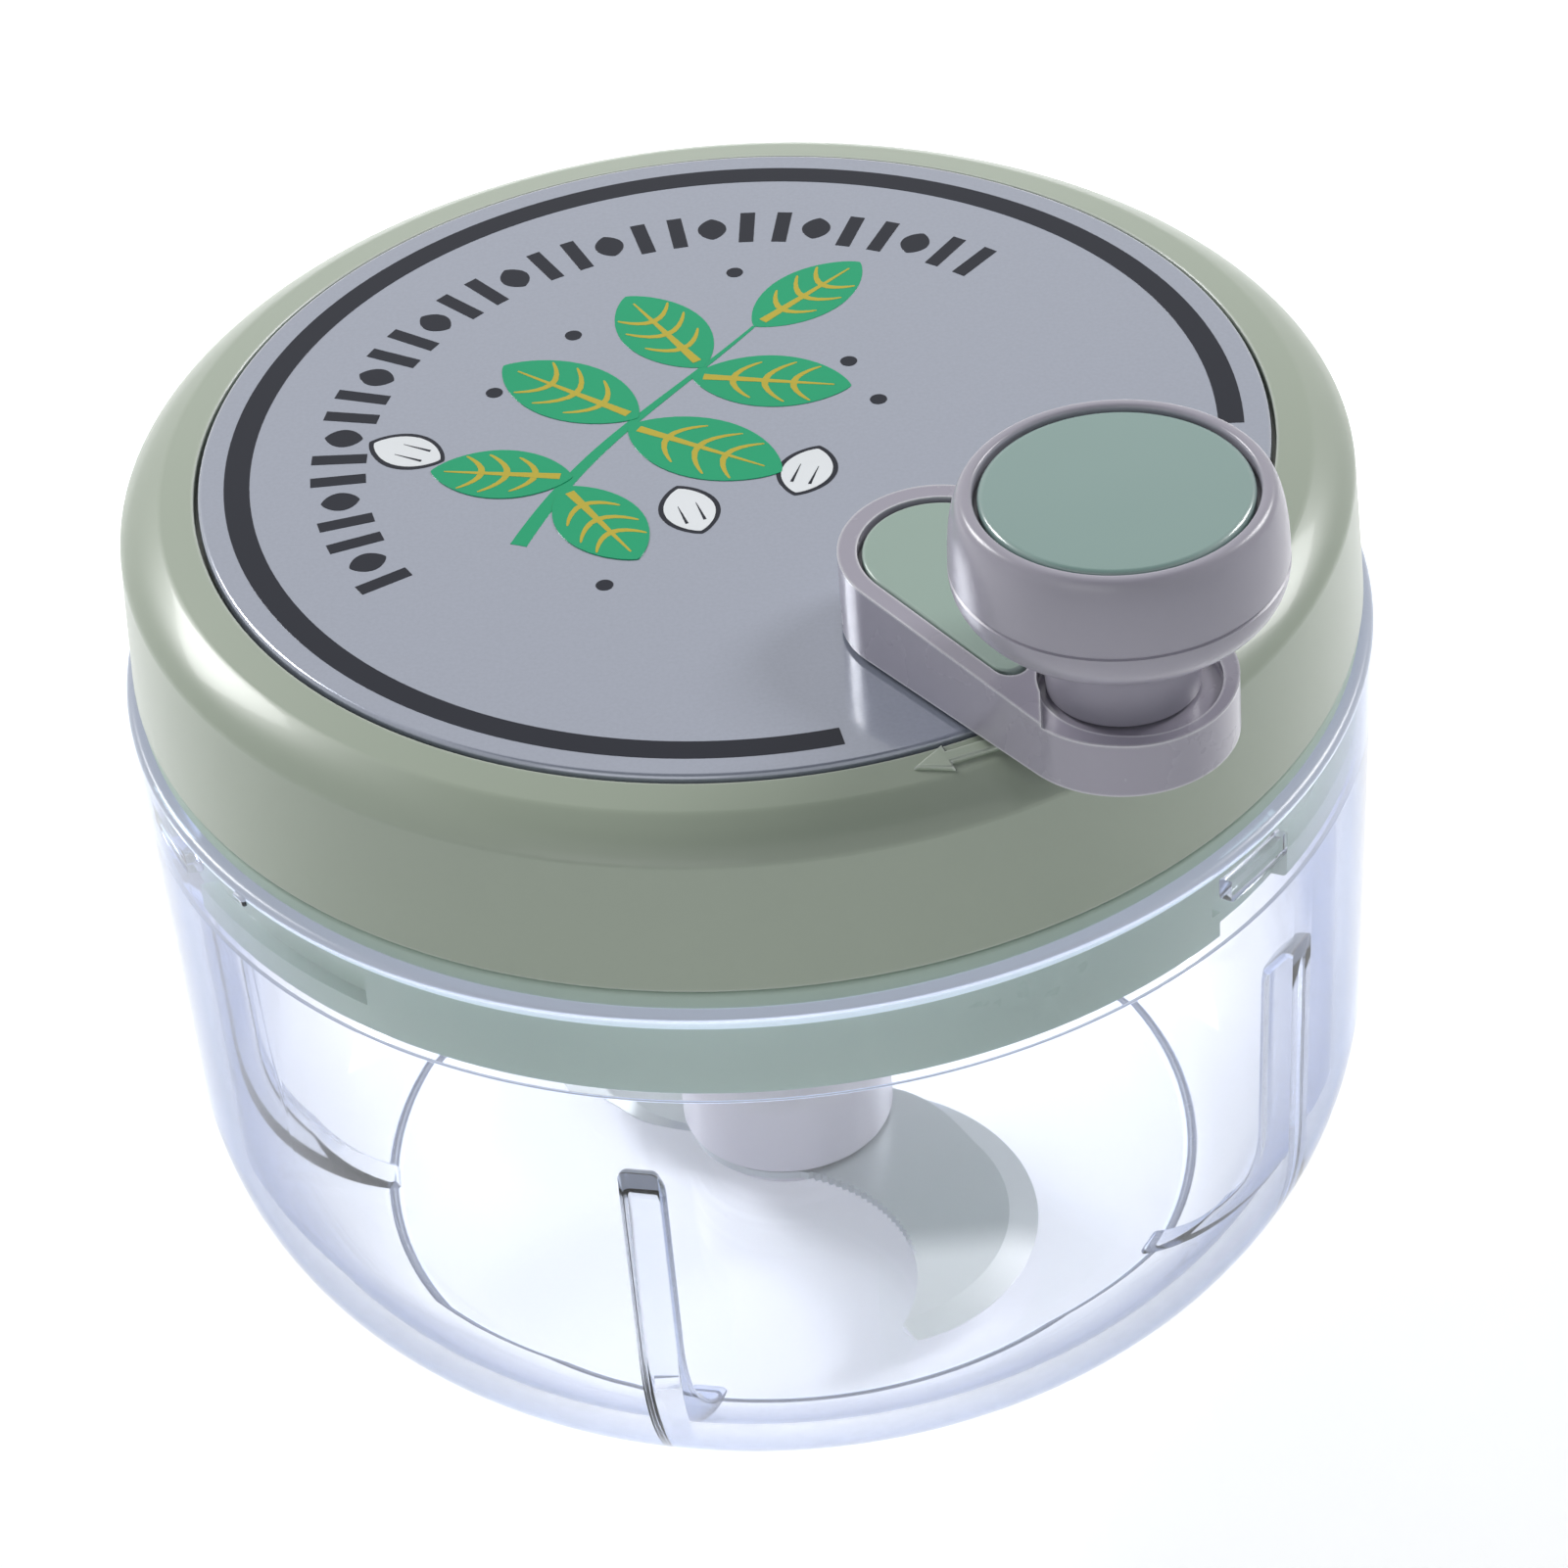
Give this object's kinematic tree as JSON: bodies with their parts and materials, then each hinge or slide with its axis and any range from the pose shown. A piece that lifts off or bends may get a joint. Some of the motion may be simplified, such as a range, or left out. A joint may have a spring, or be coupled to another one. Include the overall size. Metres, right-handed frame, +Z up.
{
  "type": "hand cranked garlic chopper",
  "caption": "Round food chopper: clear bowl, green geared lid with a crank and knob on top, and a blade unit on a central hub that the crank turns.",
  "frame": {"origin": "centre of the flat face under the bowl's foot, on the bowl's axis", "axes": "+Z up along the bowl's axis; -Y towards the front, with the crank at its rest place at +X -Y"},
  "size_m": [0.1234, 0.1269, 0.119],
  "materials": {
    "clear_bowl": "clear, polished",
    "green_shell": "glossy sage green",
    "green_skirt": "glossy sage green",
    "green_seal": "soft, matt, pale green",
    "grey_plate": "glossy grey with a printed pattern",
    "lilac_plastic": "satin lilac grey",
    "green_inlay": "glossy green",
    "white_plastic": "satin white",
    "steel": "bright",
    "nylon": "matt"
  },
  "bodies": {
    "bowl": {"bowl": "clear_bowl", "centre_pin": "steel"},
    "seal": {"seal_ring": "green_seal"},
    "lid": {"lid_shell": "green_shell", "top_plate": "grey_plate", "inner_cover": "green_skirt", "cover_screw_1": "steel", "cover_screw_2": "steel", "cover_screw_3": "steel", "crank_bush": "nylon", "idler_axle": "steel", "drive_bush": "nylon", "shaft_seal": "green_seal"},
    "crank": {"crank_spindle": "nylon", "crank_gear": "white_plastic", "crank_washer": "steel", "crank_screw": "steel", "crank_arm": "lilac_plastic", "arm_inlay": "green_inlay", "arm_screw": "steel", "knob_pin": "steel", "knob_washer": "steel", "knob_screw": "steel"},
    "knob": {"knob_body": "lilac_plastic", "knob_cap": "green_inlay"},
    "idler": {"idler_gear": "white_plastic"},
    "drive": {"drive_shaft": "steel", "drive_pinion": "white_plastic"},
    "blade": {"blade_hub": "white_plastic", "blade": "steel", "blade_cap": "white_plastic"}
  },
  "joints": [
    {"name": "lid_lift", "type": "slide", "parent": "bowl", "child": "seal", "axis": [0, 0, 1], "range_m": [0, 0.06]},
    {"name": "lid_turn", "type": "hinge", "parent": "seal", "child": "lid", "pos_m": [0, 0, 0.0738], "axis": [0, 0, -1], "range_deg": [0, 25]},
    {"name": "crank_turn", "type": "hinge", "parent": "lid", "child": "crank", "pos_m": [0.01846, -0.03148, 0.0926], "axis": [0, 0, 1], "continuous": true},
    {"name": "knob_spin", "type": "hinge", "parent": "crank", "child": "knob", "pos_m": [0.03327, -0.05004, 0.0978], "axis": [0, 0, 1], "continuous": true},
    {"name": "idler_turn", "type": "hinge", "parent": "lid", "child": "idler", "pos_m": [-0.00305, -0.02483, 0.067], "axis": [0, 0, 1], "continuous": true},
    {"name": "drive_turn", "type": "hinge", "parent": "lid", "child": "drive", "pos_m": [0, 0, 0.0462], "axis": [0, 0, 1], "continuous": true},
    {"name": "blade_drop", "type": "slide", "parent": "drive", "child": "blade", "axis": [0, 0, -1], "range_m": [0, 0.06]}
  ],
  "couplings": [
    {"joint": "idler_turn", "follows": "crank_turn", "ratio": -2},
    {"joint": "drive_turn", "follows": "crank_turn", "ratio": 3.5556},
    {"joint": "blade_drop", "follows": "lid_lift", "ratio": 1}
  ]
}
